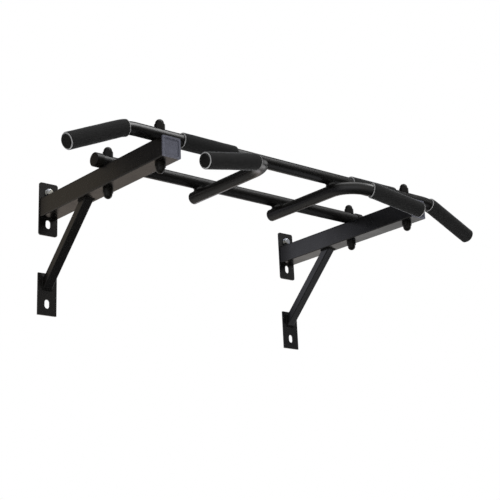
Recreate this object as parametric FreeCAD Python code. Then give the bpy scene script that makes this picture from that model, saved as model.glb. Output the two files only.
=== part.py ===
import FreeCAD, Part
import math
import os

from FreeCAD import Rotation, Vector

# A wall-mounted pull-up bar.  Millimetres, +Z up.  The wall is the plane y = 0 and the
# bars stand out towards -Y.  The origin is on the wall, midway between the two upper
# wall screws, so the object is symmetric about x = 0 apart from where its foam sits.

X_AXIS = Vector(1, 0, 0)
Y_AXIS = Vector(0, 1, 0)
Z_AXIS = Vector(0, 0, 1)

# Brackets
bracket_x = 406.4          # half the span between brackets: 32 in over two stud bays
plate_width = 54.0
plate_thick = 4.0
upper_plate_top = 26.0
upper_plate_bottom = -114.0
upper_plate_corner = 6.0
lower_plate_top = -213.0
lower_plate_bottom = -320.0
lower_plate_corner = 1.0
slot_width = 15.0
slot_length = 23.0
screw_slot_z = 0.0         # the upper slot of the upper plate, taken by the wall screw
open_slot_z = -84.0        # the lower slot of the upper plate
foot_slot_z = -291.0       # the slot of the lower plate

arm_size = 50.0
arm_wall = 2.0
arm_corner = 3.0
arm_top = -18.0
arm_bottom = arm_top - arm_size
arm_front = -527.0

strut_width = 25.0
strut_depth = 21.0
strut_wall = 1.5
strut_corner = 2.0
strut_foot = Vector(0, -plate_thick, -240.0)      # where its centreline meets the plate
strut_head = Vector(0, -181.0, arm_bottom)        # where it meets the arm's underside

end_cap_flange = 4.0
end_cap_border = 5.0
end_cap_recess = 2.5
end_cap_plug = 15.0
end_cap_wall = 2.0
end_cap_clearance = 0.1

# Bars
tube_radius = 15.9
tube_wall = 2.0
front_bar_y = -486.0
rear_bar_y = -274.5
cross_bar_z = 0.0
front_bar_straight = 475.5     # half length up to where the outer grips bend down
outer_bend_radius = 113.0
outer_bend_degrees = 23.8
outer_grip_straight = 145.6
rear_bar_half = 444.0
rear_cap_start = 427.0
rear_cap_radius = 17.6
rear_cap_end = 3.5
rear_cap_edge = 2.5

middle_bar_x = 131.0
middle_bar_z = -34.0
middle_bar_back = -255.0
middle_bend_start = -487.5
middle_bend_radius = 85.0
middle_turn_degrees = 86.0
middle_drop_degrees = {"left": 11.8, "right": 9.1}       # welded on slightly turned
middle_grip_straight = 148.5
spacer_radius = 12.0

# Plugs in the tube ends
plug_flange = 3.0
plug_edge = 1.2
plug_depth = 14.0
plug_wall = 1.8
plug_clearance = 0.1

# Foam sleeves.  Each was pushed on by hand, so the two sides differ a little.
foam_inner = 16.1
foam_outer = 20.2
outer_foam_start = {"left": 24.0, "right": 26.0}         # past the start of the bend
front_foam = {"left": (187.0, 346.0), "right": (200.0, 359.0)}
middle_foam_start = {"left": 110.0, "right": 109.0}      # past the start of the bend

# Bolts that hold the cross bars on the arms, from the top down
bolt_radius = 5.0
bolt_hole_radius = 5.5
bolt_length = 100.0
bolt_head_height = 6.4
bolt_head_flats = 16.0
nut_height = 8.0
washer_thick = 2.0
washer_radius = 10.0
washer_hole_radius = 5.25
saddle_radius = 13.0
saddle_height = 7.0
head_saddle_radius = 9.5
head_saddle_rise = 2.5         # its flat top above the bar's crown
cover_radius = 12.0            # the foot of the taper that runs up to the dome
cover_dome_radius = 10.5
cover_wall = 1.4
cover_collar_radius = 12.7
cover_collar = 10.0            # height of the wide collar round the open end
cover_fit = 0.1                # between a cover's skirt and the round bar
lower_cover_height = 25.0
upper_cover_rise = 23.5        # above the bar's crown
upper_cover_skirt = 4.0        # how far the skirt comes down over the bar's crown

# Screws that hold the upper plates on the wall
screw_neck_radius = 4.8        # within the plate
screw_radius = 5.0             # over the thread, in the wall
screw_length = 32.0
screw_tip = 9.0
screw_point_radius = 0.6
screw_head_height = 7.0
screw_head_flats = 17.0
screw_washer_radius = 11.0
screw_washer_hole_radius = 5.25

weld_leg = 3.5

hex_bevel_degrees = 30.0       # the corner bevel of nuts and bolt heads
past = 1.0                     # how far a cutting shape runs past the face it cuts
far = 400.0                    # farther than anything on one bracket

sides = {"left": -1.0, "right": 1.0}
cross_bar_ys = (front_bar_y, rear_bar_y)


def box_between(low, high):
    """A box from its lowest to its highest corner."""
    return Part.makeBox(high.x - low.x, high.y - low.y, high.z - low.z, low)


def rounded_box(low, high, axis, radius):
    """A box whose four edges along axis are rounded."""
    box = box_between(low, high)
    along = [e for e in box.Edges if abs(abs(e.tangentAt(e.FirstParameter).dot(axis)) - 1) < 1e-6]
    return box.makeFillet(radius, along)


def post(radius, x, y, low_z, high_z):
    """An upright cylinder."""
    return Part.makeCylinder(radius, high_z - low_z, Vector(x, y, low_z))


def hexagon(flats, height, base, axis):
    """A hexagonal prism that starts at base and runs along axis."""
    corner = flats / math.sqrt(3.0)
    points = []
    for k in range(7):
        turn = math.radians(60.0 * k)
        points.append(Vector(corner * math.cos(turn), corner * math.sin(turn), 0))
    prism = Part.Face(Part.makePolygon(points)).extrude(Z_AXIS * height)
    crown = flats / 2
    spread = height / math.tan(math.radians(hex_bevel_degrees))
    prism = prism.common(Part.makeCone(crown + spread, crown, height))
    prism.Placement = FreeCAD.Placement(base, Rotation(Z_AXIS, axis))
    return prism


def group(solids):
    """Separate solids that share one node."""
    return Part.makeCompound(solids)


# ---------------------------------------------------------------- brackets

def slot_cutter(x, z):
    """An upright slot with round ends, cut through a wall plate."""
    half_width = slot_width / 2
    reach = slot_length / 2 - half_width
    low = Vector(x - half_width, -plate_thick - past, z - reach)
    high = Vector(x + half_width, past, z + reach)
    cutter = box_between(low, high)
    for end in (-reach, reach):
        start = Vector(x, -plate_thick - past, z + end)
        cutter = cutter.fuse(Part.makeCylinder(half_width, plate_thick + 2 * past, start, Y_AXIS))
    return cutter.removeSplitter()


def wall_plate(x, bottom, top, corner, slot_heights):
    low = Vector(x - plate_width / 2, -plate_thick, bottom)
    high = Vector(x + plate_width / 2, 0, top)
    plate = rounded_box(low, high, Y_AXIS, corner)
    for z in slot_heights:
        plate = plate.cut(slot_cutter(x, z))
    return plate


def arm(x):
    """A square tube, butt-welded to the upper plate and drilled for the two bar bolts."""
    half = arm_size / 2
    low = Vector(x - half, arm_front, arm_bottom)
    high = Vector(x + half, -plate_thick, arm_top)
    inset = Vector(arm_wall, 0, arm_wall)
    tube = rounded_box(low, high, Y_AXIS, arm_corner)
    hollow = rounded_box(low + inset, high - inset, Y_AXIS, arm_corner - arm_wall)
    tube = tube.cut(hollow)
    for y in cross_bar_ys:
        tube = tube.cut(post(bolt_hole_radius, x, y, arm_bottom - past, arm_top + past))
    return tube


def strut_solid(x, grow):
    """The strut's outline as a solid, grown by a margin and cut off at the plate and arm."""
    run = strut_head - strut_foot
    tilt = math.degrees(math.atan2(run.z, -run.y))
    half_width = strut_width / 2 + grow
    half_depth = strut_depth / 2 + grow
    low = Vector(-half_width, -far, -half_depth)
    high = Vector(half_width, far, half_depth)
    bar = rounded_box(low, high, Y_AXIS, strut_corner + grow)
    bar.rotate(Vector(0, 0, 0), X_AXIS, -tilt)
    bar.translate(strut_foot + Vector(x, 0, 0))
    return bar.common(under_arm(x, -far, -far))


def under_arm(x, back_y, low_z):
    """The room below the arm and in front of the plate, down and out to given limits."""
    low = Vector(x - plate_width, back_y, low_z)
    return box_between(low, Vector(x + plate_width, -plate_thick, arm_bottom))


def strut(x):
    """A rectangular tube, mitred to the arm's underside and to the lower plate."""
    return strut_solid(x, 0.0).cut(strut_solid(x, -strut_wall))


def arm_end_cap(x):
    """A square plastic insert with a raised border round a shallow recess."""
    half = arm_size / 2
    low = Vector(x - half, arm_front - end_cap_flange, arm_bottom)
    high = Vector(x + half, arm_front, arm_top)
    cap = rounded_box(low, high, Y_AXIS, arm_corner)
    border = Vector(end_cap_border, 0, end_cap_border)
    recess_high = high - border - Vector(0, end_cap_flange - end_cap_recess, 0)
    cap = cap.cut(rounded_box(low + border, recess_high, Y_AXIS, arm_corner / 2))
    inset = Vector(arm_wall + end_cap_clearance, 0, arm_wall + end_cap_clearance)
    plug_low = Vector(low.x, arm_front, low.z) + inset
    plug_high = Vector(high.x, arm_front + end_cap_plug, high.z) - inset
    plug = rounded_box(plug_low, plug_high, Y_AXIS, arm_corner - arm_wall)
    wall = Vector(end_cap_wall, 0, end_cap_wall)
    plug = plug.cut(box_between(plug_low + wall, plug_high - wall))
    return cap.fuse(plug).removeSplitter()


def bracket_welds(x):
    """Beads above and below the arm, and collars round both ends of the strut."""
    half = arm_size / 2 - arm_corner
    beads = []
    for z, way in ((arm_top, 1.0), (arm_bottom, -1.0)):
        corner = Vector(x - half, -plate_thick, z)
        out = corner - Vector(0, weld_leg, 0)
        up = corner + Vector(0, 0, way * weld_leg)
        section = Part.Face(Part.makePolygon([corner, out, up, corner]))
        beads.append(section.extrude(X_AXIS * (2 * half)))
    collar = strut_solid(x, weld_leg).cut(strut_solid(x, 0.0))
    beads.append(collar.common(under_arm(x, -plate_thick - weld_leg, -far)))
    beads.append(collar.common(under_arm(x, -far, arm_bottom - weld_leg)))
    return group(beads)


# ---------------------------------------------------------------- bent tubes

def bend(start, before, after, radius, degrees):
    """The point reached after turning some degrees along a bend from before to after."""
    normal = before.cross(after).normalize()
    centre = start + normal.cross(before) * radius
    return centre + Rotation(normal, degrees).multVec(start - centre)


def bend_then_straight(start, before, after, radius, from_degrees, tail):
    """Edges along a bend, from part of the way round it, and along the straight after it."""
    total = math.degrees(before.getAngle(after))
    first = bend(start, before, after, radius, from_degrees)
    middle = bend(start, before, after, radius, (from_degrees + total) / 2)
    last = bend(start, before, after, radius, total)
    return [Part.Arc(first, middle, last).toShape(), Part.LineSegment(last, last + after * tail).toShape()]


def rod_along(edges, radius):
    """A round rod whose centreline is the given chain of edges."""
    path = Part.Wire(Part.sortEdges(edges)[0])
    first = path.OrderedEdges[0]
    start = path.OrderedVertexes[0].Point
    heading = first.tangentAt(first.FirstParameter)
    ring = Part.Wire(Part.makeCircle(radius, start, heading))
    return path.makePipeShell([ring], True, False)


def tube_along(edges, outer, inner):
    return rod_along(edges, outer).cut(rod_along(edges, inner))


def outer_grip_line(sign, start_past_bend):
    """The centreline of a wide grip, from a length past the start of its bend."""
    start = Vector(sign * front_bar_straight, front_bar_y, cross_bar_z)
    before = X_AXIS * sign
    drop = math.radians(outer_bend_degrees)
    after = Vector(sign * math.cos(drop), 0, -math.sin(drop))
    skipped = math.degrees(start_past_bend / outer_bend_radius)
    return bend_then_straight(start, before, after, outer_bend_radius, skipped, outer_grip_straight)


def middle_grip_line(side, start_past_bend):
    """The centreline of a middle bar's grip, from a length past the start of its bend."""
    sign = sides[side]
    start = Vector(sign * middle_bar_x, middle_bend_start, middle_bar_z)
    turn = math.radians(middle_turn_degrees)
    drop = math.radians(middle_drop_degrees[side])
    level = Vector(sign * math.sin(turn), -math.cos(turn), 0)
    after = level * math.cos(drop) - Z_AXIS * math.sin(drop)
    skipped = math.degrees(start_past_bend / middle_bend_radius)
    return bend_then_straight(start, -Y_AXIS, after, middle_bend_radius, skipped, middle_grip_straight)


def straight_line(first, last):
    return [Part.LineSegment(first, last).toShape()]


def front_bar():
    """The long front tube, whose two ends bend down into the wide grips."""
    left = outer_grip_line(-1.0, 0.0)
    right = outer_grip_line(1.0, 0.0)
    reach = Vector(front_bar_straight, 0, 0)
    middle = Vector(0, front_bar_y, cross_bar_z)
    edges = [left[1], left[0]] + straight_line(middle - reach, middle + reach) + right
    tube = tube_along(edges, tube_radius, tube_radius - tube_wall)
    return drilled(tube, front_bar_y)


def rear_bar():
    reach = Vector(rear_bar_half, 0, 0)
    middle = Vector(0, rear_bar_y, cross_bar_z)
    tube = tube_along(straight_line(middle - reach, middle + reach), tube_radius, tube_radius - tube_wall)
    return drilled(tube, rear_bar_y)


def drilled(tube, y):
    """A cross bar with its two upright bolt holes."""
    for sign in sides.values():
        low = cross_bar_z - tube_radius - past
        high = cross_bar_z + tube_radius + past
        tube = tube.cut(post(bolt_hole_radius, sign * bracket_x, y, low, high))
    return tube


def middle_bar(side):
    """A tube that runs forward under both cross bars and bends outward into a grip."""
    sign = sides[side]
    back = Vector(sign * middle_bar_x, middle_bar_back, middle_bar_z)
    start = Vector(sign * middle_bar_x, middle_bend_start, middle_bar_z)
    edges = straight_line(back, start) + middle_grip_line(side, 0.0)
    return tube_along(edges, tube_radius, tube_radius - tube_wall)


def cross_bar_outline(radius, x, y):
    """A short length of a cross bar's outline, to shape what sits against it."""
    reach = saddle_radius + past
    return Part.makeCylinder(radius, 2 * reach, Vector(x - reach, y, cross_bar_z), X_AXIS)


def bar_spacers():
    """Short posts between the cross bars and the middle bars, hollowed to fit both."""
    posts = []
    for sign in sides.values():
        x = sign * middle_bar_x
        for y in cross_bar_ys:
            body = post(spacer_radius, x, y, middle_bar_z, cross_bar_z)
            body = body.cut(cross_bar_outline(tube_radius, x, y))
            low = Vector(x, y - tube_radius, middle_bar_z)
            body = body.cut(Part.makeCylinder(tube_radius, 2 * tube_radius, low, Y_AXIS))
            posts.append(body)
    return group(posts)


def tube_plug(end, outward):
    """A plastic plug that closes a tube: a flange with a rounded edge and a hollow stem."""
    flange = Part.makeCylinder(tube_radius, plug_flange, end, outward)
    rim = [e for e in flange.Edges if abs((e.CenterOfMass - end).dot(outward) - plug_flange) < 1e-6]
    flange = flange.makeFillet(plug_edge, rim)
    stem_radius = tube_radius - tube_wall - plug_clearance
    stem = Part.makeCylinder(stem_radius, plug_depth, end, -outward)
    core = Part.makeCylinder(stem_radius - plug_wall, plug_depth, end, -outward)
    return flange.fuse(stem.cut(core)).removeSplitter()


def end_of(edges):
    """The last point of a grip's centreline and the direction it points in there."""
    line = edges[-1]
    first = line.valueAt(line.FirstParameter)
    last = line.valueAt(line.LastParameter)
    return last, (last - first).normalize()


def rear_bar_cap(sign):
    """A plastic cup pushed over the end of the rear bar."""
    inner_end = Vector(sign * rear_cap_start, rear_bar_y, cross_bar_z)
    outward = X_AXIS * sign
    length = rear_bar_half + rear_cap_end - rear_cap_start
    cup = Part.makeCylinder(rear_cap_radius, length, inner_end, outward)
    rim = [e for e in cup.Edges if abs((e.CenterOfMass - inner_end).dot(outward) - length) < 1e-6]
    cup = cup.makeFillet(rear_cap_edge, rim)
    return cup.cut(Part.makeCylinder(tube_radius, rear_bar_half - rear_cap_start, inner_end, outward))


# ---------------------------------------------------------------- foam

def outer_foam(side):
    return tube_along(outer_grip_line(sides[side], outer_foam_start[side]), foam_outer, foam_inner)


def middle_foam(side):
    return tube_along(middle_grip_line(side, middle_foam_start[side]), foam_outer, foam_inner)


def front_foam_sleeve(side):
    near_x, far_x = front_foam[side]
    first = Vector(sides[side] * near_x, front_bar_y, cross_bar_z)
    last = Vector(sides[side] * far_x, front_bar_y, cross_bar_z)
    return tube_along(straight_line(first, last), foam_outer, foam_inner)


# ---------------------------------------------------------------- bolts

def at_each_bolt(make):
    """The same fastener at the four places where a cross bar crosses an arm."""
    return group([make(sign * bracket_x, y) for y in cross_bar_ys for sign in sides.values()])


crown_z = cross_bar_z + tube_radius
head_seat_z = crown_z + head_saddle_rise
nut_seat_z = arm_bottom - washer_thick


def bar_saddle(x, y):
    """A cradle that seats the round bar on the flat top of the arm."""
    body = post(saddle_radius, x, y, arm_top, arm_top + saddle_height)
    body = body.cut(cross_bar_outline(tube_radius, x, y))
    return body.cut(post(bolt_hole_radius, x, y, arm_top - past, arm_top + saddle_height + past))


def head_saddle(x, y):
    """A washer with a hollow underside that seats the bolt's head on the round bar."""
    body = post(head_saddle_radius, x, y, cross_bar_z, head_seat_z)
    body = body.cut(cross_bar_outline(tube_radius, x, y))
    return body.cut(post(bolt_hole_radius, x, y, cross_bar_z - past, head_seat_z + past))


def bar_bolt(x, y):
    shank = post(bolt_radius, x, y, head_seat_z - bolt_length, head_seat_z)
    head = hexagon(bolt_head_flats, bolt_head_height, Vector(x, y, head_seat_z), Z_AXIS)
    return shank.fuse(head).removeSplitter()


def bar_washer(x, y):
    ring = post(washer_radius, x, y, nut_seat_z, arm_bottom)
    return ring.cut(post(washer_hole_radius, x, y, nut_seat_z - past, arm_bottom + past))


def bar_nut(x, y):
    nut = hexagon(bolt_head_flats, nut_height, Vector(x, y, nut_seat_z), -Z_AXIS)
    return nut.cut(post(bolt_radius, x, y, nut_seat_z - nut_height - past, nut_seat_z + past))


def tapered_dome(straight, inset):
    """A solid that tapers up to a round top, inset from the outside of a cover."""
    taper = Part.makeCone(cover_radius - inset, cover_dome_radius - inset, straight)
    return taper.fuse(Part.makeSphere(cover_dome_radius - inset, Vector(0, 0, straight)))


def cover_shell(height, collar):
    """A domed cup on the XY plane, closed at the top, with a wide collar round its open end."""
    straight = height - cover_dome_radius
    shell = tapered_dome(straight, 0.0).fuse(Part.makeCylinder(cover_collar_radius, collar))
    return shell.cut(tapered_dome(straight, cover_wall))


def upper_cover(x, y):
    """A domed plastic cover over the bolt's head, its skirt cut to sit on the round bar."""
    shell = cover_shell(upper_cover_rise + upper_cover_skirt, upper_cover_skirt + cover_collar)
    shell.translate(Vector(x, y, crown_z - upper_cover_skirt))
    return shell.cut(cross_bar_outline(tube_radius + cover_fit, x, y))


def lower_cover(x, y):
    """The same cover over the nut, upside down against the underside of the arm."""
    shell = cover_shell(lower_cover_height, cover_collar)
    shell.rotate(Vector(0, 0, 0), X_AXIS, 180)
    shell.translate(Vector(x, y, arm_bottom))
    return shell


def wall_screw(x):
    """A hexagon-headed wood screw that stands out of the plate's back."""
    seat = -plate_thick - washer_thick
    tip_y = seat + screw_length - screw_tip
    shank = Part.makeCylinder(screw_neck_radius, -seat, Vector(x, seat, screw_slot_z), Y_AXIS)
    shank = shank.fuse(Part.makeCylinder(screw_radius, tip_y, Vector(x, 0, screw_slot_z), Y_AXIS))
    tip_base = Vector(x, tip_y, screw_slot_z)
    tip = Part.makeCone(screw_radius, screw_point_radius, screw_tip, tip_base, Y_AXIS)
    head = hexagon(screw_head_flats, screw_head_height, Vector(x, seat, screw_slot_z), -Y_AXIS)
    return head.fuse(shank.fuse(tip)).removeSplitter()


def wall_washer(x):
    seat = Vector(x, -plate_thick - washer_thick, screw_slot_z)
    ring = Part.makeCylinder(screw_washer_radius, washer_thick, seat, Y_AXIS)
    return ring.cut(Part.makeCylinder(screw_washer_hole_radius, washer_thick, seat, Y_AXIS))


# ---------------------------------------------------------------- nodes

def build_nodes():
    nodes = {"front_bar": front_bar(), "rear_bar": rear_bar(), "bar_spacers": bar_spacers()}
    for side, sign in sides.items():
        x = sign * bracket_x
        upper_slots = (screw_slot_z, open_slot_z)
        nodes[side + "_upper_wall_plate"] = wall_plate(
            x, upper_plate_bottom, upper_plate_top, upper_plate_corner, upper_slots
        )
        nodes[side + "_lower_wall_plate"] = wall_plate(
            x, lower_plate_bottom, lower_plate_top, lower_plate_corner, (foot_slot_z,)
        )
        nodes[side + "_arm"] = arm(x)
        nodes[side + "_strut"] = strut(x)
        nodes[side + "_arm_end_cap"] = arm_end_cap(x)
        nodes[side + "_bracket_welds"] = bracket_welds(x)
        nodes[side + "_middle_bar"] = middle_bar(side)
        nodes[side + "_middle_bar_rear_plug"] = tube_plug(
            Vector(sign * middle_bar_x, middle_bar_back, middle_bar_z), Y_AXIS
        )
        nodes[side + "_outer_grip_plug"] = tube_plug(*end_of(outer_grip_line(sign, 0.0)))
        nodes[side + "_middle_grip_plug"] = tube_plug(*end_of(middle_grip_line(side, 0.0)))
        nodes[side + "_rear_bar_cap"] = rear_bar_cap(sign)
        nodes[side + "_outer_grip_foam"] = outer_foam(side)
        nodes[side + "_front_grip_foam"] = front_foam_sleeve(side)
        nodes[side + "_middle_grip_foam"] = middle_foam(side)
    nodes["bar_saddles"] = at_each_bolt(bar_saddle)
    nodes["bolt_head_saddles"] = at_each_bolt(head_saddle)
    nodes["bar_bolts"] = at_each_bolt(bar_bolt)
    nodes["bar_washers"] = at_each_bolt(bar_washer)
    nodes["bar_nuts"] = at_each_bolt(bar_nut)
    nodes["upper_bolt_covers"] = at_each_bolt(upper_cover)
    nodes["lower_bolt_covers"] = at_each_bolt(lower_cover)
    nodes["wall_screws"] = group([wall_screw(sign * bracket_x) for sign in sides.values()])
    nodes["wall_washers"] = group([wall_washer(sign * bracket_x) for sign in sides.values()])
    return nodes


os.makedirs("parts", exist_ok=True)
for name, shape in build_nodes().items():
    shape.exportStep("parts/" + name + ".step")
    box = shape.BoundBox
    print(
        f"{name}: {len(shape.Solids)} solids, valid {shape.isValid()}, {shape.Volume:.0f} mm3, "
        f"x {box.XMin:.1f}..{box.XMax:.1f} y {box.YMin:.1f}..{box.YMax:.1f} z {box.ZMin:.1f}..{box.ZMax:.1f}"
    )
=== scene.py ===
"""Looks for a wall-mounted pull-up bar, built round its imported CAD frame.  Metres, +Z up, wall at y = 0."""

import math

import bmesh
import bpy
from mathutils import Matrix, Vector, noise


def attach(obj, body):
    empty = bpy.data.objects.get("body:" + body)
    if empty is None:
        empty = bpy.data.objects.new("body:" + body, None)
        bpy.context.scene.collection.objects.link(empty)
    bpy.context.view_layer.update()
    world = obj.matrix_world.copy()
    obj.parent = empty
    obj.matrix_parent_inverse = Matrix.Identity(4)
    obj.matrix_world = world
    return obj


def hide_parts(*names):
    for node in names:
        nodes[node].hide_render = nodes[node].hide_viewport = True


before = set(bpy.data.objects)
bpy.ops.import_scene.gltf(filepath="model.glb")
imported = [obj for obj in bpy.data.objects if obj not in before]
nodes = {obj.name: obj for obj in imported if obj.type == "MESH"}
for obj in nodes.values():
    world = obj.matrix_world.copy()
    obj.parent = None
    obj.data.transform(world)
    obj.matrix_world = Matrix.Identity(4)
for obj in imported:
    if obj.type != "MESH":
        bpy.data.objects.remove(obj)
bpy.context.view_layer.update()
MM = 0.001
X_AXIS = Vector((1, 0, 0))
Y_AXIS = Vector((0, 1, 0))
Z_AXIS = Vector((0, 0, 1))
SIDES = {"left": -1.0, "right": 1.0}

# ------------------------------------------------------------------ the CAD's own dimensions
# Repeated here in metres: the pieces made below follow the same lines as the CAD nodes they replace.

BRACKET_X = 406.4 * MM
PLATE_THICK = 4.0 * MM
ARM_HALF = 25.0 * MM
ARM_TOP = -18.0 * MM
ARM_BOTTOM = -68.0 * MM
ARM_CORNER = 3.0 * MM
STRUT_FOOT = Vector((0, -4.0, -240.0)) * MM
STRUT_HEAD = Vector((0, -181.0, -68.0)) * MM
STRUT_HALF_WIDTH = 12.5 * MM
STRUT_HALF_DEPTH = 10.5 * MM
STRUT_CORNER = 2.0 * MM
TUBE_R = 15.9 * MM
FRONT_Y = -486.0 * MM
REAR_Y = -274.5 * MM
FRONT_STRAIGHT = 475.5 * MM
OUTER_BEND_R = 113.0 * MM
OUTER_BEND = math.radians(23.8)
OUTER_TAIL = 145.6 * MM
MIDDLE_X = 131.0 * MM
MIDDLE_Z = -34.0 * MM
MIDDLE_BEND_Y = -487.5 * MM
MIDDLE_BEND_R = 85.0 * MM
MIDDLE_TURN = math.radians(86.0)
MIDDLE_DROP = {"left": math.radians(11.8), "right": math.radians(9.1)}
MIDDLE_TAIL = 148.5 * MM
SPACER_R = 12.0 * MM
FOAM_INNER = 16.1 * MM
FOAM_OUTER = 20.2 * MM
OUTER_FOAM_START = {"left": 24.0 * MM, "right": 26.0 * MM}
FRONT_FOAM = {"left": (187.0 * MM, 346.0 * MM), "right": (200.0 * MM, 359.0 * MM)}
MIDDLE_FOAM_START = {"left": 110.0 * MM, "right": 109.0 * MM}
WELD_LEG = 3.4 * MM
SCREW_SEAT = -6.0 * MM
SCREW_NECK_R = 4.8 * MM
SCREW_R = 5.0 * MM
SCREW_LENGTH = 32.0 * MM


# ------------------------------------------------------------------ materials

BEVEL_SAMPLES = 6
FLAT_DOT = 0.995       # rounded normal against true normal: above this a spot is flat
EDGE_DOT = 0.80        # and below this it is an edge
COAT_EDGE = 0.9 * MM
PLASTIC_EDGE = 0.5 * MM
ZINC_EDGE = 0.4 * MM
DUST_LIFT = 1.7        # how much paler dust makes the paint
WORN_GREY = 0.055
ZINC_YELLOW = (0.58, 0.57, 0.50, 1.0)
ZINC_BLUE = (0.50, 0.53, 0.60, 1.0)


class Nodes:
    """A short way to write a node tree."""

    def __init__(self, tree):
        self.tree = tree
        tree.nodes.clear()

    def add(self, kind, inputs=None, **settings):
        node = self.tree.nodes.new(kind)
        for key, value in settings.items():
            setattr(node, key, value)
        for key, value in (inputs or {}).items():
            if isinstance(value, bpy.types.NodeSocket):
                self.tree.links.new(value, node.inputs[key])
            else:
                node.inputs[key].default_value = value
        return node

    def math(self, operation, *values, clamp=False):
        inputs = dict(enumerate(values))
        return self.add("ShaderNodeMath", inputs, operation=operation, use_clamp=clamp).outputs[0]

    def noise(self, where, scale, detail=3.0, roughness=0.5):
        inputs = {"Vector": where, "Scale": scale, "Detail": detail, "Roughness": roughness}
        return self.add("ShaderNodeTexNoise", inputs).outputs["Fac"]

    def voronoi(self, where, scale):
        return self.add("ShaderNodeTexVoronoi", {"Vector": where, "Scale": scale}).outputs["Distance"]

    def spread(self, value, low, high, to_low, to_high):
        inputs = {"Value": value, "From Min": low, "From Max": high, "To Min": to_low, "To Max": to_high}
        return self.add("ShaderNodeMapRange", inputs, clamp=True).outputs["Result"]

    def mix(self, factor, a, b):
        return self.add("ShaderNodeMix", {0: factor, 6: a, 7: b}, data_type="RGBA").outputs[2]

    def bump(self, height, strength, distance, normal=None):
        inputs = {"Height": height, "Strength": strength, "Distance": distance}
        if normal is not None:
            inputs["Normal"] = normal
        return self.add("ShaderNodeBump", inputs).outputs["Normal"]

    def edge_mask(self, radius):
        """1 on outer and inner edges, 0 on flats, and the rounded normal it comes from."""
        rounded = self.add("ShaderNodeBevel", {"Radius": radius}, samples=BEVEL_SAMPLES).outputs["Normal"]
        true_normal = self.add("ShaderNodeNewGeometry").outputs["Normal"]
        dot = self.add("ShaderNodeVectorMath", {0: rounded, 1: true_normal}, operation="DOT_PRODUCT")
        return self.spread(dot.outputs["Value"], FLAT_DOT, EDGE_DOT, 0.0, 1.0), rounded


def grey(value):
    return (value, value, value, 1.0)


def scaled_colour(colour, factor):
    return tuple(c * factor for c in colour[:3]) + (1.0,)


def new_material(name):
    material = bpy.data.materials.new(name)
    material.use_nodes = True
    return material, Nodes(material.node_tree)


def finish_material(n, **inputs):
    """Ends a material in one Principled shader.  Inputs are its sockets' names in lower case."""
    names = {key.replace("_", " ").title().replace("Ior", "IOR"): value for key, value in inputs.items()}
    shader = n.add("ShaderNodeBsdfPrincipled", names)
    n.add("ShaderNodeOutputMaterial", {"Surface": shader.outputs["BSDF"]})


def painted_steel(name, tint, peel, gloss=(0.23, 0.31), shine=0.5):
    """Black powder coat, roughness over gloss: orange peel, uneven gloss, worn edges, a little dust."""
    material, n = new_material(name)
    where = n.add("ShaderNodeTexCoord").outputs["Object"]
    edges, rounded = n.edge_mask(COAT_EDGE)
    cloud = n.noise(where, scale=14.0, detail=4.0)
    patches = n.noise(where, scale=160.0, detail=4.0, roughness=0.6)
    chips = n.spread(n.math("MULTIPLY", edges, patches), 0.30, 0.50, 0.0, 1.0)
    dust = n.spread(n.noise(where, scale=55.0, detail=6.0, roughness=0.7), 0.52, 0.80, 0.0, 0.35)
    colour = n.mix(dust, tint, scaled_colour(tint, DUST_LIFT))
    colour = n.mix(n.math("MULTIPLY", chips, 0.6), colour, grey(WORN_GREY))
    rough = n.spread(cloud, 0.3, 0.7, *gloss)
    rough = n.math("ADD", rough, n.math("MULTIPLY", dust, 0.25))
    rough = n.math("ADD", rough, n.math("MULTIPLY", chips, 0.15), clamp=True)
    waves = n.noise(where, scale=420.0, detail=2.0)
    grains = n.noise(where, scale=2600.0, detail=2.0)
    normal = n.bump(waves, strength=0.10 * peel, distance=0.35 * MM, normal=rounded)
    normal = n.bump(grains, strength=0.05 * peel, distance=0.05 * MM, normal=normal)
    finish_material(n, base_color=colour, roughness=rough, normal=normal, specular_ior_level=shine)
    return material


def foam_skin(name, base, sheen):
    """Closed-cell foam: matte, fine open pores with painted shade in them, faint long-wave mottling."""
    material, n = new_material(name)
    where = n.add("ShaderNodeTexCoord").outputs["Object"]
    cells = n.voronoi(where, scale=1500.0)
    pores = n.spread(n.voronoi(where, scale=620.0), 0.0, 0.45, 0.0, 1.0)
    mottle = n.noise(where, scale=70.0, detail=5.0, roughness=0.6)
    colour = n.mix(n.spread(mottle, 0.35, 0.7, 0.0, 1.0), grey(base * 0.86), grey(base * 1.14))
    # Pores painted darker: painted shade in the pores.
    colour = n.mix(n.math("SUBTRACT", 1.0, pores), colour, grey(base * 0.45))
    rough = n.spread(mottle, 0.3, 0.7, 0.88, 0.97)
    normal = n.bump(cells, strength=0.35, distance=0.30 * MM)
    normal = n.bump(pores, strength=0.40, distance=0.35 * MM, normal=normal)
    finish_material(
        n, base_color=colour, roughness=rough, normal=normal, specular_ior_level=0.25,
        sheen_weight=sheen, sheen_roughness=0.22, sheen_tint=(0.85, 0.87, 0.90, 1.0),
    )
    return material


def moulded_plastic(name, base, low, high, rub=0.06):
    """Satin moulded plastic, roughness low to high: fine spark texture, rubbed edges, flow marks."""
    material, n = new_material(name)
    where = n.add("ShaderNodeTexCoord").outputs["Object"]
    edges, rounded = n.edge_mask(PLASTIC_EDGE)
    flow = n.noise(where, scale=40.0, detail=3.0)
    rubbed = n.math("MULTIPLY", edges, n.noise(where, scale=220.0, detail=4.0))
    pale = tuple(c + rub for c in base[:3]) + (1.0,)
    colour = n.mix(n.spread(flow, 0.35, 0.65, 0.0, 1.0), scaled_colour(base, 0.82), base)
    colour = n.mix(rubbed, colour, pale)
    rough = n.spread(flow, 0.3, 0.7, low, high)
    sparks = n.noise(where, scale=900.0, detail=2.0)
    normal = n.bump(sparks, strength=0.18, distance=0.12 * MM, normal=rounded)
    finish_material(n, base_color=colour, roughness=rough, normal=normal, specular_ior_level=0.2)
    return material


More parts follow.
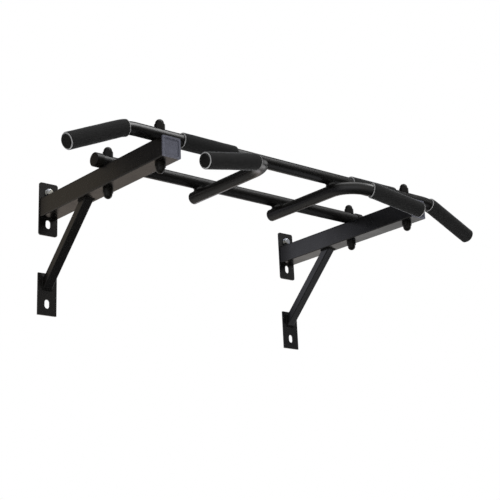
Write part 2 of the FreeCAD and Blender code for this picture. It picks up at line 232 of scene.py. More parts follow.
def zinc_plate(name):
    """Bright zinc: cold grey metal with a faint yellow and blue passivation and turning marks."""
    material, n = new_material(name)
    where = n.add("ShaderNodeTexCoord").outputs["Object"]
    edges, rounded = n.edge_mask(ZINC_EDGE)
    cast = n.noise(where, scale=90.0, detail=3.0)
    colour = n.mix(n.spread(cast, 0.4, 0.6, 0.0, 1.0), ZINC_YELLOW, ZINC_BLUE)
    spots = n.spread(n.noise(where, scale=700.0, detail=5.0, roughness=0.7), 0.58, 0.72, 0.0, 1.0)
    colour = n.mix(n.math("MULTIPLY", spots, 0.5), colour, grey(0.30))
    colour = n.mix(n.math("MULTIPLY", edges, 0.4), colour, grey(0.75))
    rough = n.math("ADD", n.spread(cast, 0.3, 0.7, 0.26, 0.36), n.math("MULTIPLY", spots, 0.2))
    marks = n.add("ShaderNodeTexWave", {"Vector": where, "Scale": 900.0, "Distortion": 1.5, "Detail": 1.0})
    normal = n.bump(marks.outputs["Fac"], strength=0.06, distance=0.08 * MM, normal=rounded)
    finish_material(n, base_color=colour, metallic=1.0, roughness=rough, normal=normal)
    return material


# The first two blacks are one paint, tinted warm for the left bracket and cool for the right: painted light.
BLACK_WITH_PAINTED_WARM_LIGHT = (0.0034, 0.0027, 0.0020, 1.0)
BLACK_WITH_PAINTED_COOL_LIGHT = (0.0032, 0.0033, 0.0038, 1.0)
BAR_BLACK = (0.0040, 0.0037, 0.0034, 1.0)
WELD_BLACK = (0.0040, 0.0036, 0.0030, 1.0)
PLASTIC_BLACK = (0.0060, 0.0054, 0.0042, 1.0)
BLUE_GREY = (0.120, 0.124, 0.157, 1.0)

# The left bracket's coat, tinted warm, and the right's, tinted cool: painted light.
PAINT = painted_steel("powder_coat_black_painted_warm_light", BLACK_WITH_PAINTED_WARM_LIGHT, peel=0.4)
PAINT_WITH_PAINTED_COOL_LIGHT = painted_steel("powder_coat_black_painted_cool_light", BLACK_WITH_PAINTED_COOL_LIGHT, peel=0.4)
BAR_PAINT = painted_steel("black_bar_coat", BAR_BLACK, peel=0.25)
REAR_PAINT = painted_steel("black_rear_bar_coat", BAR_BLACK, peel=0.25, gloss=(0.31, 0.39), shine=0.34)
WELD_PAINT = painted_steel("painted_weld", WELD_BLACK, peel=0.8, gloss=(0.55, 0.65), shine=0.15)
FOAM = foam_skin("black_foam", 0.0148, sheen=0.7)
# Pale foam for the sleeve ends and bores: the cut face, partly a painted highlight on the rounded ends.
FOAM_CUT_AND_HIGHLIGHT = foam_skin("cut_foam_and_painted_highlight", 0.40, sheen=0.2)
PLASTIC = moulded_plastic("black_plastic", PLASTIC_BLACK, 0.24, 0.36)
CAP_PLASTIC = moulded_plastic("blue_grey_plastic", BLUE_GREY, 0.40, 0.55, rub=0.18)
ZINC = zinc_plate("bright_zinc")


def dress(node, material):
    """Gives a CAD node its finish."""
    nodes[node].material_slots[0].material = material


# ------------------------------------------------------------------ mesh helpers

def piece(name, bm, slot, *materials, replaces=()):
    """Turns a bmesh into a shaded piece that rides on the object."""
    bmesh.ops.recalc_face_normals(bm, faces=bm.faces)
    mesh = bpy.data.meshes.new(name)
    bm.to_mesh(mesh)
    bm.free()
    mesh.shade_smooth()
    obj = bpy.data.objects.new(name, mesh)
    bpy.context.scene.collection.objects.link(obj)
    for material in materials:
        mesh.materials.append(material)
    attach(obj, "root")
    if replaces:
        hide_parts(*replaces)
    return obj


def grid_faces(bm, rings, closed_along, material=None):
    """Quads between closed rings of vertices; material(i) gives the material index of strip i."""
    count = len(rings)
    for i in range(count if closed_along else count - 1):
        a, b = rings[i], rings[(i + 1) % count]
        size = len(a)
        for j in range(size):
            k = (j + 1) % size
            face = bm.faces.new((a[j], a[k], b[k], b[j]))
            if material:
                face.material_index = material(i)


def arc_point(start, before, after, radius, angle):
    """Position and heading after turning by angle along a bend from before to after."""
    normal = before.cross(after).normalized()
    centre = start + normal.cross(before) * radius
    turn = Matrix.Rotation(angle, 3, normal)
    return centre + turn @ (start - centre), turn @ before


def grip_line(start, before, after, radius, tail, skipped):
    """A bend and its straight tail, less the length skipped at its start.

    Gives a function from distance to position and heading, and the whole length.
    """
    total = before.angle(after)
    arc = radius * total
    last = arc_point(start, before, after, radius, total)[0]

    def at(distance):
        s = distance + skipped
        if s < arc:
            return arc_point(start, before, after, radius, s / radius)
        return last + after * (s - arc), after

    return at, arc + tail - skipped


def outer_grip(side):
    sign = SIDES[side]
    start = Vector((sign * FRONT_STRAIGHT, FRONT_Y, 0))
    after = Vector((sign * math.cos(OUTER_BEND), 0, -math.sin(OUTER_BEND)))
    skipped = OUTER_FOAM_START[side]
    return grip_line(start, X_AXIS * sign, after, OUTER_BEND_R, OUTER_TAIL, skipped)


def middle_grip(side):
    sign = SIDES[side]
    start = Vector((sign * MIDDLE_X, MIDDLE_BEND_Y, MIDDLE_Z))
    level = Vector((sign * math.sin(MIDDLE_TURN), -math.cos(MIDDLE_TURN), 0))
    drop = MIDDLE_DROP[side]
    after = level * math.cos(drop) - Z_AXIS * math.sin(drop)
    skipped = MIDDLE_FOAM_START[side]
    return grip_line(start, -Y_AXIS, after, MIDDLE_BEND_R, MIDDLE_TAIL, skipped)


def front_grip(side):
    near, far = FRONT_FOAM[side]
    start = Vector((SIDES[side] * near, FRONT_Y, 0))
    heading = X_AXIS * SIDES[side]

    def at(distance):
        return start + heading * distance, heading

    return at, far - near


# ------------------------------------------------------------------ foam sleeves

FOAM_AROUND = 72
FOAM_STEP = 4.0 * MM
FOAM_EDGE = 3.0 * MM
FOAM_LIP = 0.5 * MM    # the bore's own small edge, at both ends
FOAM_SKIN = 1.5 * MM   # beyond this from the bore a point is on the outside and uneven
SLOW_GIVE = 0.30 * MM
SLOW_SCALE = 38.0
FAST_GIVE = 0.10 * MM
FAST_SCALE = 160.0
CORNER_STEPS = 6
CUT_AND_HIGHLIGHT_STEPS = 3          # how much of the rounding is pale: the cut core, partly a painted highlight on the rounded end
PAINTED_HIGHLIGHT_STEPS = 6       # more of the rounding painted pale, by sleeve and end: a painted highlight along the end's outline
# Sleeve ends whose pale band is widened: a painted highlight.
PAINTED_HIGHLIGHT_NEAR = ("left_outer_sleeve", "left_middle_sleeve")
PAINTED_HIGHLIGHT_FAR = ("right_middle_sleeve",)


def foam_profile(length, near_pale, far_pale):
    """(distance, radius, is_pale) round a sleeve's wall, from the near end out and back inside."""
    count = round((length - 2 * FOAM_EDGE) / FOAM_STEP)
    edge = FOAM_EDGE
    corner = []
    for k in range(CORNER_STEPS + 1):
        a = math.pi / 2 * k / CORNER_STEPS
        corner.append((edge - edge * math.cos(a), FOAM_OUTER - edge + edge * math.sin(a)))
    near = [(d, r, k < near_pale) for k, (d, r) in enumerate(corner)]
    far = [(length - d, r, k < far_pale) for k, (d, r) in enumerate(corner)][::-1]
    middle = [
        (edge + (length - 2 * edge) * k / count, FOAM_OUTER, False) for k in range(1, count)
    ]
    lip = FOAM_INNER + FOAM_LIP
    inside = [(length - FOAM_LIP, FOAM_INNER, True), (FOAM_LIP, FOAM_INNER, True)]
    return near + middle + far + [(length, lip, True)] + inside + [(0.0, lip, True)]


def foam_give(spot, seed):
    """How far the foam's outside stands out from a true tube."""
    slow = SLOW_GIVE * noise.noise(spot * SLOW_SCALE + Vector((seed, 0, 0)))
    fast = FAST_GIVE * noise.noise(spot * FAST_SCALE + Vector((0, seed, 0)))
    return slow + fast


def foam_ring(bm, middle, heading, radius, seed):
    """One ring of vertices round a sleeve."""
    side = heading.cross(Z_AXIS).normalized()
    up = side.cross(heading).normalized()
    outside = radius > FOAM_INNER + FOAM_SKIN
    ring = []
    for k in range(FOAM_AROUND):
        angle = 2 * math.pi * k / FOAM_AROUND
        out = side * math.cos(angle) + up * math.sin(angle)
        spot = middle + out * radius
        give = foam_give(spot, seed) if outside else 0.0
        ring.append(bm.verts.new(spot + out * give))
    return ring


def foam_sleeve(name, line, seed, node):
    """One foam tube along a grip's line, in place of its CAD node."""
    at, length = line
    near_pale = PAINTED_HIGHLIGHT_STEPS if name in PAINTED_HIGHLIGHT_NEAR else CUT_AND_HIGHLIGHT_STEPS
    far_pale = PAINTED_HIGHLIGHT_STEPS if name in PAINTED_HIGHLIGHT_FAR else CUT_AND_HIGHLIGHT_STEPS
    profile = foam_profile(length, near_pale, far_pale)
    bm = bmesh.new()
    rings = [foam_ring(bm, *at(distance), radius, seed) for distance, radius, _ in profile]
    cut = [is_pale for _, _, is_pale in profile]

    # Strips beside a pale point take the pale foam: cut faces and a painted highlight at the ends.
    def strip(i):
        return 1 if cut[i] or cut[(i + 1) % len(cut)] else 0

    grid_faces(bm, rings, True, strip)
    sleeve = piece(name, bm, "foam", FOAM, FOAM_CUT_AND_HIGHLIGHT, replaces=(node,))


# ------------------------------------------------------------------ weld beads

BEAD_STEPS = 8
BEAD_ROUND = 0.62      # 0 for a flat fillet, 1 for a quarter circle
BEAD_CROWN = 0.16
BEAD_SUNK = 0.4 * MM
BEAD_WOBBLE = 0.06
WOBBLE_SCALE = 300.0
RIPPLE_PITCH = 1.7 * MM
RIPPLE_HEIGHT = 0.07
RIPPLE_LAG = 0.45      # how far the ripples bow along the bead, in pitches
TAPER_POINTS = 3.0     # an open bead's ends grow from TAPER_LEAST over this many points
TAPER_LEAST = 0.35
ARM_BEAD_GAP = 0.42 * MM
STRUT_BEAD_GAP = 0.45 * MM
STRUT_CORNER_STEPS = 4
SPACER_BEAD_POINTS = 200
SPACER_WELD_LEG = 1.5 * MM


def bead_ring(bm, corner, u, w, size, travelled):
    """One section of a bead between its two legs' directions, closed by a point under the surface."""
    ring = []
    for k in range(BEAD_STEPS + 1):
        t = k / BEAD_STEPS
        bulge = math.sin(math.pi * t)
        ripple = abs(math.sin(math.pi * (travelled / RIPPLE_PITCH + RIPPLE_LAG * bulge)))
        reach = size * (1.0 + BEAD_CROWN * bulge + RIPPLE_HEIGHT * ripple * bulge)
        a = math.pi / 2 * t
        straight = u * (1 - t) + w * t
        curved = u * math.cos(a) + w * math.sin(a)
        blended = straight * (1 - BEAD_ROUND) + curved * BEAD_ROUND
        ring.append(bm.verts.new(corner + blended * reach))
    ring.append(bm.verts.new(corner - (u + w) * BEAD_SUNK))
    return ring


def bead(bm, path, closed, leg):
    """A rippled fillet weld.  path gives (corner, first leg's direction, second leg's direction)."""
    travelled = 0.0
    rings = []
    previous = path[0][0]
    for index, (corner, u, w) in enumerate(path):
        travelled += (corner - previous).length
        previous = corner
        taper = 1.0
        if not closed:
            nearest_end = min(index, len(path) - 1 - index) / TAPER_POINTS
            taper = min(1.0, TAPER_LEAST + (1 - TAPER_LEAST) * nearest_end)
        wobble = 1.0 + BEAD_WOBBLE * noise.noise(corner * WOBBLE_SCALE)
        rings.append(bead_ring(bm, corner, u, w, leg * taper * wobble, travelled))
    grid_faces(bm, rings, closed)
    if not closed:
        close_ends(bm, rings)


def close_ends(bm, rings):
    bm.faces.new(rings[0])
    bm.faces.new(list(reversed(rings[-1])))


def spaced(points, gap, closed):
    """Points along a polyline at about equal gaps."""
    following = points[1:] + points[:1] if closed else points[1:]
    out = []
    for a, b in zip(points, following):
        count = max(1, round((b - a).length / gap))
        out += [a.lerp(b, k / count) for k in range(count)]
    if not closed:
        out.append(points[-1])
    return out


def arm_bead(bm, x, z, way):
    """A straight bead along the arm's top or bottom where it meets the plate.  way is +1 on top."""
    half = ARM_HALF - ARM_CORNER
    ends = [Vector((x - half, -PLATE_THICK, z)), Vector((x + half, -PLATE_THICK, z))]
    path = [(p, -Y_AXIS, Z_AXIS * way) for p in spaced(ends, ARM_BEAD_GAP, False)]
    bead(bm, path, False, WELD_LEG)


def strut_bead(bm, x, middle, along, plane_normal, up):
    """A bead round the strut where it meets a flat face.  along is the way out of that face."""
    stretch = 1.0 / abs(along.dot(plane_normal))
    radius = STRUT_CORNER
    core_w = STRUT_HALF_WIDTH - radius
    core_h = STRUT_HALF_DEPTH * stretch - radius
    outline = []
    for sx, sy, first in ((1, 1, 0), (-1, 1, 90), (-1, -1, 180), (1, -1, 270)):
        for k in range(STRUT_CORNER_STEPS + 1):
            a = math.radians(first + 90.0 / STRUT_CORNER_STEPS * k)
            px = sx * core_w + radius * math.cos(a)
            py = sy * core_h + radius * math.sin(a)
            outline.append(Vector((px, py, 0)))
    path = []
    for p in spaced(outline, STRUT_BEAD_GAP, True):
        core = Vector((max(-core_w, min(core_w, p.x)), max(-core_h, min(core_h, p.y)), 0))
        outward = (p - core).normalized()
        corner = middle + Vector((x, 0, 0)) + X_AXIS * p.x + up * p.y
        path.append((corner, X_AXIS * outward.x + up * outward.y, along))
    bead(bm, path, True, WELD_LEG)


def spacer_bead(bm, x, y, across, bar_z, way):
    """A bead round a spacer post where it meets one bar.

    across is the level direction square to that bar, and way is +1 for the bar above.
    """
    path = []
    for k in range(SPACER_BEAD_POINTS):
        a = 2 * math.pi * k / SPACER_BEAD_POINTS
        out = Vector((math.cos(a), math.sin(a), 0))
        offset = out.dot(across) * SPACER_R
        rise = math.sqrt(TUBE_R ** 2 - offset ** 2)
        surface = (out + Z_AXIS * (way * offset / rise) * out.dot(across)).normalized()
        corner = Vector((x, y, bar_z - way * rise)) + out * SPACER_R
        path.append((corner, surface, -Z_AXIS * way))
    bead(bm, path, True, SPACER_WELD_LEG)


def bracket_welds(side):
    x = SIDES[side] * BRACKET_X
    bm = bmesh.new()
    arm_bead(bm, x, ARM_TOP, 1.0)
    arm_bead(bm, x, ARM_BOTTOM, -1.0)
    along = (STRUT_HEAD - STRUT_FOOT).normalized()
    strut_bead(bm, x, STRUT_FOOT, along, Y_AXIS, Z_AXIS)
    strut_bead(bm, x, STRUT_HEAD, -along, Z_AXIS, Y_AXIS)
    piece(side + "_weld_beads", bm, "black_paint", WELD_PAINT, replaces=(side + "_bracket_welds",))


def spacer_welds():
    bm = bmesh.new()
    for sign in SIDES.values():
        for y in (FRONT_Y, REAR_Y):
            spacer_bead(bm, sign * MIDDLE_X, y, Y_AXIS, 0.0, 1.0)
            spacer_bead(bm, sign * MIDDLE_X, y, X_AXIS, MIDDLE_Z, -1.0)
    piece("spacer_weld_beads", bm, "black_paint", WELD_PAINT)


# ------------------------------------------------------------------ wall screws

SCREW_AROUND = 48
HEAD_HEIGHT = 7.0 * MM
HEAD_FLATS = 17.0 * MM
HEAD_FACE = (0.6, 5.0, 7.6)                                        # rings on the flat top, mm
HEAD_CROWN = ((0.15, 8.0), (0.5, 8.55), (0.9, 9.1), (1.4, 9.9))    # depth, largest radius, mm
HEAD_FOOT = ((0.9, 9.9), (0.5, 9.4))                               # height, largest radius, mm
FACE_RING_HEIGHT = 0.4 * MM
FACE_RING_R = 8.3 * MM
THREAD_START = 8.0 * MM
THREAD_FADE = 1.5 * MM
THREAD_STEP = 0.4 * MM
THREAD_PITCH = 4.0 * MM
THREAD_ROOT_R = 3.5 * MM
RIDGE_HALF_WIDTH = 0.22    # of a pitch
TIP_LENGTH = 9.0 * MM
TIP_LEAST = 0.10
TIP_R = 0.25 * MM
SHARP_ANGLE = math.radians(35)


def circle(radius):
    return lambda angle: radius


def hexagon(limit):
    """The head's section, with its six corners cut back to a largest radius."""

    def radius_at(angle):
        sector = (angle + math.pi / 6) % (math.pi / 3) - math.pi / 6
        return min(HEAD_FLATS / 2 / math.cos(sector), limit)

    return radius_at


def thread(y):
    """The section at y from the seat: the thread fades in from the plain neck and tapers to the tip."""
    taper = min(1.0, max(TIP_LEAST, (SCREW_LENGTH - y) / TIP_LENGTH))
    fade = min(1.0, (y - THREAD_START) / THREAD_FADE)
    low = SCREW_NECK_R + (THREAD_ROOT_R - SCREW_NECK_R) * fade

    def radius_at(angle):
        turn = (y / THREAD_PITCH - angle / (2 * math.pi)) % 1.0
        ridge = max(0.0, 1.0 - abs(turn - 0.5) / RIDGE_HALF_WIDTH)
        return (low + (SCREW_R - low) * ridge * fade) * taper

    return radius_at


def head_sections():
    top = SCREW_SEAT - HEAD_HEIGHT
    sections = [(top, circle(radius * MM)) for radius in HEAD_FACE]
    sections += [(top + depth * MM, hexagon(limit * MM)) for depth, limit in HEAD_CROWN]
    sections += [(SCREW_SEAT - height * MM, hexagon(limit * MM)) for height, limit in HEAD_FOOT]
    sections += [(SCREW_SEAT - FACE_RING_HEIGHT, circle(FACE_RING_R)), (SCREW_SEAT, circle(FACE_RING_R))]
    return sections


def shank_sections():
    neck = circle(SCREW_NECK_R)
    sections = [(SCREW_SEAT, neck), (SCREW_SEAT + THREAD_START, neck)]
    y = THREAD_START
    while y < SCREW_LENGTH:
        sections.append((SCREW_SEAT + y, thread(y)))
        y += THREAD_STEP
    sections.append((SCREW_SEAT + SCREW_LENGTH, circle(TIP_R)))
    return sections


def screw_ring(bm, x, y, radius_at):
    ring = []
    for k in range(SCREW_AROUND):
        a = 2 * math.pi * k / SCREW_AROUND
        r = radius_at(a)
        ring.append(bm.verts.new((x + r * math.cos(a), y, r * math.sin(a))))
    return ring


def wall_screws():
    """Hexagon-headed wood screws with a rolled thread."""
    sections = head_sections() + shank_sections()
    bm = bmesh.new()
    for sign in SIDES.values():
        rings = [screw_ring(bm, sign * BRACKET_X, y, radius_at) for y, radius_at in sections]
        grid_faces(bm, rings, False)
        close_ends(bm, rings)
    screws = piece("threaded_wall_screws", bm, "zinc", ZINC, replaces=("wall_screws",))
    screws.data.set_sharp_from_angle(angle=SHARP_ANGLE)


# ------------------------------------------------------------------ the object

# Each bracket gets its own tinted copy of the black paint: painted light.
BRACKET_PAINT_WITH_PAINTED_LIGHT = {"left": PAINT, "right": PAINT_WITH_PAINTED_COOL_LIGHT}
OUTER_SEED, MIDDLE_SEED, FRONT_SEED = 3.0, 7.0, 11.0

for side, sign in SIDES.items():
    for part in ("upper_wall_plate", "lower_wall_plate", "arm", "strut"):
        dress(f"{side}_{part}", BRACKET_PAINT_WITH_PAINTED_LIGHT[side])
    dress(f"{side}_middle_bar", BAR_PAINT)
    dress(f"{side}_arm_end_cap", CAP_PLASTIC)
    for part in ("middle_bar_rear_plug", "outer_grip_plug", "middle_grip_plug", "rear_bar_cap"):
        dress(f"{side}_{part}", PLASTIC)
    bracket_welds(side)
    foam_sleeve(side + "_outer_sleeve", outer_grip(side), OUTER_SEED + sign, side + "_outer_grip_foam")
    foam_sleeve(side + "_middle_sleeve", middle_grip(side), MIDDLE_SEED + sign, side + "_middle_grip_foam")
    foam_sleeve(side + "_front_sleeve", front_grip(side), FRONT_SEED + sign, side + "_front_grip_foam")
for part in ("front_bar", "bar_spacers"):
    dress(part, BAR_PAINT)
dress("rear_bar", REAR_PAINT)
for part in ("bar_saddles", "upper_bolt_covers", "lower_bolt_covers"):
    dress(part, PLASTIC)
for part in ("bolt_head_saddles", "bar_bolts", "bar_washers", "bar_nuts", "wall_washers"):
    dress(part, ZINC)
spacer_welds()
wall_screws()


# ------------------------------------------------------------------ floor

FLOOR_Z = -2.2
FLOOR_RADIUS = 6.0
FLOOR_SEGMENTS = 128


def floor():
    material, n = new_material("pale_floor")
    where = n.add("ShaderNodeTexCoord").outputs["Object"]
    shade = n.mix(n.noise(where, scale=1.5, detail=4.0), grey(0.80), grey(0.84))
    rough = n.spread(n.noise(where, scale=6.0), 0.3, 0.7, 0.55, 0.7)
    normal = n.bump(n.noise(where, scale=60.0), strength=0.02, distance=1.0 * MM)
    finish_material(n, base_color=shade, roughness=rough, normal=normal)
    bm = bmesh.new()
    bmesh.ops.create_circle(bm, cap_ends=True, segments=FLOOR_SEGMENTS, radius=FLOOR_RADIUS)
    mesh = bpy.data.meshes.new("floor")
    bm.to_mesh(mesh)
    bm.free()
    mesh.materials.append(material)
    obj = bpy.data.objects.new("floor", mesh)
    obj.location = (0, 0, FLOOR_Z)
    bpy.context.scene.collection.objects.link(obj)
    obj.visible_glossy = False


# ------------------------------------------------------------------ light from all round
# Each patch of light is a mask over the direction of a ray, with a strength and a tint.
# Heights are (upward part of the direction, level) stops.  OUTER and INNER are the cosines
# where a round patch begins and is full.

WHITE = (1.0, 1.0, 1.0)

SWEEP_DIRECTION = (0.655, 0.755, 0.0)
SWEEP_SIDE = (0.755, -0.655, 0.0)
SWEEP_OUTER = 0.3
SWEEP_INNER = 0.7
SWEEP_LIGHT = 1.0
SWEEP_HEIGHT = (
    (-1.0, 0.05), (-0.60, 0.10), (-0.38, 0.65), (-0.25, 0.85), (-0.10, 0.4), (0.0, 0.05), (1.0, 0.0),
)
SWEEP_ACROSS = ((-1.0, 0.4), (-0.10, 0.75), (0.10, 1.0), (1.0, 1.0))
SWEEP_WARM = (1.0, 0.86, 0.75, 1.0)
SWEEP_COOL = (1.0, 0.99, 0.98, 1.0)
SWEEP_TURN = (-0.05, 0.08)         # from warm to cool, along SWEEP_SIDE

GLOW_LIGHT = 0.2
GLOW_HEIGHT = ((-1.0, 0.1), (0.0, 0.6), (0.22, 1.0), (0.27, 0.9), (0.31, 0.3), (0.345, 0.0), (1.0, 0.0))
GLOW_X = (-0.25, -0.42)            # grows to its full strength
GLOW_WARM = (0.8, 0.68, 0.5, 1.0)
GLOW_COOL = (1.45, 1.45, 1.7, 1.0)
GLOW_TURN_X = (-0.52, -0.63)       # from warm to cool

WINDOW_DIRECTION = (0.545, -0.370, 0.752)
WINDOW_OUTER = 0.915
WINDOW_INNER = 0.965
WINDOW_EDGE_X = (0.560, 0.595)     # falls to WINDOW_TAIL
WINDOW_TAIL = 0.015
WINDOW_LIGHT = 5.8

ROOM_LIGHT = 0.09
ROOM_HEIGHT = ((-1.0, 0.2), (-0.5, 0.3), (0.0, 0.8), (0.3, 0.5), (1.0, 1.0))

LOW_DIRECTION = (0.70, -0.25, -0.67)
LOW_OUTER = 0.90
LOW_INNER = 0.97
LOW_X = (0.54, 0.64)
LOW_LIGHT = 0.45
LOW_TINT = (1.0, 1.0, 1.06)

FRONT_LIGHT = 0.8
FRONT_Y_EDGE = (-0.45, -0.60)
FRONT_X_EDGE = (0.30, 0.42)
FRONT_FALL_X = (0.54, 0.60)
FRONT_FALL = (1.2, 1.05)           # levels at the two ends of FRONT_FALL_X
FRONT_HEIGHT = (
    (-1.0, 0.0), (0.21, 0.0), (0.27, 0.55), (0.30, 0.6), (0.36, 0.65), (0.50, 0.3), (0.70, 0.0), (1.0, 0.0),
)
FRONT_TINT = (1.0, 0.98, 0.96)

SURROUND_LIGHT = 0.6
SURROUND_X = (0.10, 0.40)          # falls to nothing, and so does the next
SURROUND_Y = (-0.05, 0.25)
SURROUND_HEIGHT = ((-1.0, 0.1), (-0.6, 0.4), (-0.2, 1.0), (0.4, 1.0), (1.0, 0.7))

CEILING_LIGHT = 1.8
CEILING_Z = (0.90, 0.96)

SIDE_LIGHT = 0.8
SIDE_X = (0.82, 0.92)
SIDE_Y = (0.91, 0.97)

KICK_DIRECTION = (-0.22, 0.70, -0.68)
KICK_OUTER = 0.82
KICK_INNER = 0.95
KICK_LIGHT = 0.38
KICK_TINT = (1.0, 0.98, 0.95)


class Sky:
    """Masks over the direction that a ray leaves in, and their sum."""

    def __init__(self, n):
        self.n = n
        self.direction = n.add("ShaderNodeTexCoord").outputs["Generated"]
        axes = n.add("ShaderNodeSeparateXYZ", {0: self.direction}).outputs
        self.x, self.y, self.z = axes["X"], axes["Y"], axes["Z"]
        self.total = None

    def along(self, axis):
        dot = self.n.add("ShaderNodeVectorMath", {0: self.direction, 1: axis}, operation="DOT_PRODUCT")
        return dot.outputs["Value"]

    def grows(self, value, edges):
        return self.n.spread(value, *edges, 0.0, 1.0)

    def falls(self, value, edges):
        return self.n.spread(value, *edges, 1.0, 0.0)

    def patch(self, axis, outer, inner):
        return self.grows(self.along(axis), (outer, inner))

    def curve(self, value, stops):
        """A smooth curve over -1 to 1 through (value, level) stops."""
        node = self.n.add("ShaderNodeValToRGB", {"Fac": self.n.spread(value, -1.0, 1.0, 0.0, 1.0)})
        band = node.color_ramp
        band.interpolation = "EASE"
        placed = [((v + 1.0) / 2.0, grey(level)) for v, level in stops]
        band.elements[0].position, band.elements[0].color = placed[0]
        band.elements[1].position, band.elements[1].color = placed[-1]
        for position, colour in placed[1:-1]:
            band.elements.new(position).color = colour
        return node.outputs["Color"]

    def times(self, *masks):
        product = masks[0]
        for mask in masks[1:]:
            product = self.n.math("MULTIPLY", product, mask)
        return product

    def light(self, mask, strength, tint=WHITE):
        """Adds one patch of light to the total."""
        level = self.n.math("MULTIPLY", mask, strength)
        lit = self.n.add("ShaderNodeVectorMath", {0: tint, "Scale": level}, operation="SCALE")
        part = lit.outputs["Vector"]
        if self.total is not None:
            both = self.n.add("ShaderNodeVectorMath", {0: self.total, 1: part}, operation="ADD")
            part = both.outputs["Vector"]
        self.total = part


def light_sweep(sky):
    """The pale sweep behind the object, warmer to one side."""
    beside = sky.along(SWEEP_SIDE)
    shape = sky.times(sky.curve(sky.z, SWEEP_HEIGHT), sky.curve(beside, SWEEP_ACROSS))
    mask = sky.times(shape, sky.patch(SWEEP_DIRECTION, SWEEP_OUTER, SWEEP_INNER))
    tint = sky.n.mix(sky.grows(beside, SWEEP_TURN), SWEEP_WARM, SWEEP_COOL)
    sky.light(mask, SWEEP_LIGHT, tint)


def light_glow(sky):
    """A glow on the left, warm near the middle and cool further out."""
    mask = sky.times(sky.curve(sky.z, GLOW_HEIGHT), sky.grows(sky.x, GLOW_X))
    tint = sky.n.mix(sky.grows(sky.x, GLOW_TURN_X), GLOW_WARM, GLOW_COOL)
    sky.light(mask, GLOW_LIGHT, tint)


def light_window(sky):
    """A bright window high on the front right, which gives the bars their highlights."""
    window = sky.patch(WINDOW_DIRECTION, WINDOW_OUTER, WINDOW_INNER)
    edge = sky.n.spread(sky.x, *WINDOW_EDGE_X, 1.0, WINDOW_TAIL)
    sky.light(sky.times(window, edge), WINDOW_LIGHT)


def light_low(sky):
    """A soft patch low on the right."""
    mask = sky.times(sky.patch(LOW_DIRECTION, LOW_OUTER, LOW_INNER), sky.grows(sky.x, LOW_X))
    sky.light(mask, LOW_LIGHT, LOW_TINT)


def light_front(sky):
    """A band on the front right, some way above the horizon."""
    corner = sky.times(sky.grows(sky.y, FRONT_Y_EDGE), sky.grows(sky.x, FRONT_X_EDGE))
    fall = sky.n.spread(sky.x, *FRONT_FALL_X, *FRONT_FALL)
    sky.light(sky.times(corner, fall, sky.curve(sky.z, FRONT_HEIGHT)), FRONT_LIGHT, FRONT_TINT)


def light_surround(sky):
    """Soft light from the front left."""
    corner = sky.times(sky.falls(sky.x, SURROUND_X), sky.falls(sky.y, SURROUND_Y))
    sky.light(sky.times(corner, sky.curve(sky.z, SURROUND_HEIGHT)), SURROUND_LIGHT)


def studio_world():
    """Light by direction, and a plain white backdrop for the camera."""
    world = bpy.data.worlds.new("studio")
    world.use_nodes = True
    n = Nodes(world.node_tree)
    sky = Sky(n)
    light_sweep(sky)
    light_glow(sky)
    light_window(sky)
    sky.light(sky.curve(sky.z, ROOM_HEIGHT), ROOM_LIGHT)
    light_low(sky)
    light_front(sky)
    light_surround(sky)
    sky.light(sky.grows(sky.z, CEILING_Z), CEILING_LIGHT)
    sky.light(n.math("MAXIMUM", sky.grows(sky.x, SIDE_X), sky.grows(sky.y, SIDE_Y)), SIDE_LIGHT)
    sky.light(sky.patch(KICK_DIRECTION, KICK_OUTER, KICK_INNER), KICK_LIGHT, KICK_TINT)
    seen = n.add("ShaderNodeLightPath").outputs["Is Camera Ray"]
    lit = n.add("ShaderNodeBackground", {"Color": sky.total, "Strength": 1.0})
    backdrop = n.add("ShaderNodeBackground", {"Color": grey(1.0), "Strength": 1.0})
    both = n.add("ShaderNodeMixShader", {0: seen, 1: lit.outputs[0], 2: backdrop.outputs[0]})
    n.add("ShaderNodeOutputWorld", {"Surface": both.outputs[0]})
    bpy.context.scene.world = world


# ------------------------------------------------------------------ lamps, which no camera sees

FILL_PLACE = (-2.4, -3.4, -0.6)
FILL_TARGET = (0, -0.3, -0.1)
FILL_SIZE = (2.5, 2.5)
FILL_POWER = 6.5
WASH_HEIGHT = 0.6
WASH_SIZE = (10.0, 10.0)
WASH_POWER = 80.0
CARD_Y = 0.06                  # just behind the wall plane, facing forward
CARD_AIM_Y = -1.0
LEFT_CARD = (-0.60, -0.04)     # x and z
LEFT_CARD_SIZE = (0.25, 0.40)
LEFT_CARD_POWER = 0.085
LEFT_CARD_TINT = (1.0, 0.84, 0.62)
RIGHT_CARD = (0.15, -0.06)
RIGHT_CARD_SIZE = (0.28, 0.34)
RIGHT_CARD_POWER = 0.20
RIGHT_CARD_TINT = (0.95, 0.95, 1.05)


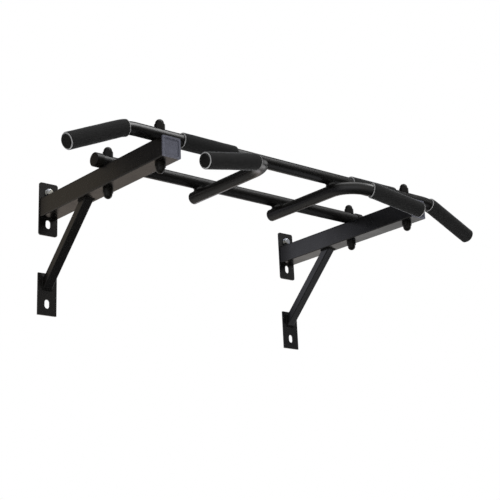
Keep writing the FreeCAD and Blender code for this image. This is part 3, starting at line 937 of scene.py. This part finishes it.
def softbox(name, place, target, size, power, tint=WHITE, in_gloss=True):
    light = bpy.data.lights.new(name, "AREA")
    light.shape = "RECTANGLE"
    light.size, light.size_y = size
    light.energy = power
    light.color = tint
    obj = bpy.data.objects.new(name, light)
    obj.location = place
    obj.rotation_mode = "QUATERNION"
    obj.rotation_quaternion = (Vector(target) - Vector(place)).to_track_quat("-Z", "Y")
    obj.visible_glossy = in_gloss
    obj.visible_camera = False
    bpy.context.scene.collection.objects.link(obj)


def card(name, spot, size, power, tint):
    """A small soft light beside an arm, which gives the arm's side its change of tone."""
    x, z = spot
    softbox(name, (x, CARD_Y, z), (x, CARD_AIM_Y, z), size, power, tint)


def lamps():
    """A fill, a wash that brightens the floor, and the two arm lights."""
    softbox("fill", FILL_PLACE, FILL_TARGET, FILL_SIZE, FILL_POWER, in_gloss=False)
    above_floor = (0, 0, FLOOR_Z + WASH_HEIGHT)
    softbox("floor_wash", above_floor, (0, 0, FLOOR_Z), WASH_SIZE, WASH_POWER, in_gloss=False)
    card("left_card", LEFT_CARD, LEFT_CARD_SIZE, LEFT_CARD_POWER, LEFT_CARD_TINT)
    card("right_card", RIGHT_CARD, RIGHT_CARD_SIZE, RIGHT_CARD_POWER, RIGHT_CARD_TINT)


# ------------------------------------------------------------------ camera

CAMERA_PLACE = (-1.9730, -2.6048, -1.0513)
CAMERA_TURN = (110.0383, 2.4341, -40.0018)    # degrees about X, Y and Z
CAMERA_SENSOR = 36.0
CAMERA_LENS = 89.046
CAMERA_SHIFT = -0.16
CAMERA_REACH = 100.0


def camera():
    data = bpy.data.cameras.new("camera")
    data.sensor_width = CAMERA_SENSOR
    data.lens = CAMERA_LENS
    data.shift_y = CAMERA_SHIFT
    data.clip_end = CAMERA_REACH
    obj = bpy.data.objects.new("camera", data)
    obj.location = CAMERA_PLACE
    obj.rotation_euler = [math.radians(angle) for angle in CAMERA_TURN]
    bpy.context.scene.collection.objects.link(obj)
    bpy.context.scene.camera = obj


floor()
studio_world()
lamps()
camera()
bpy.context.scene.view_settings.view_transform = "Standard"
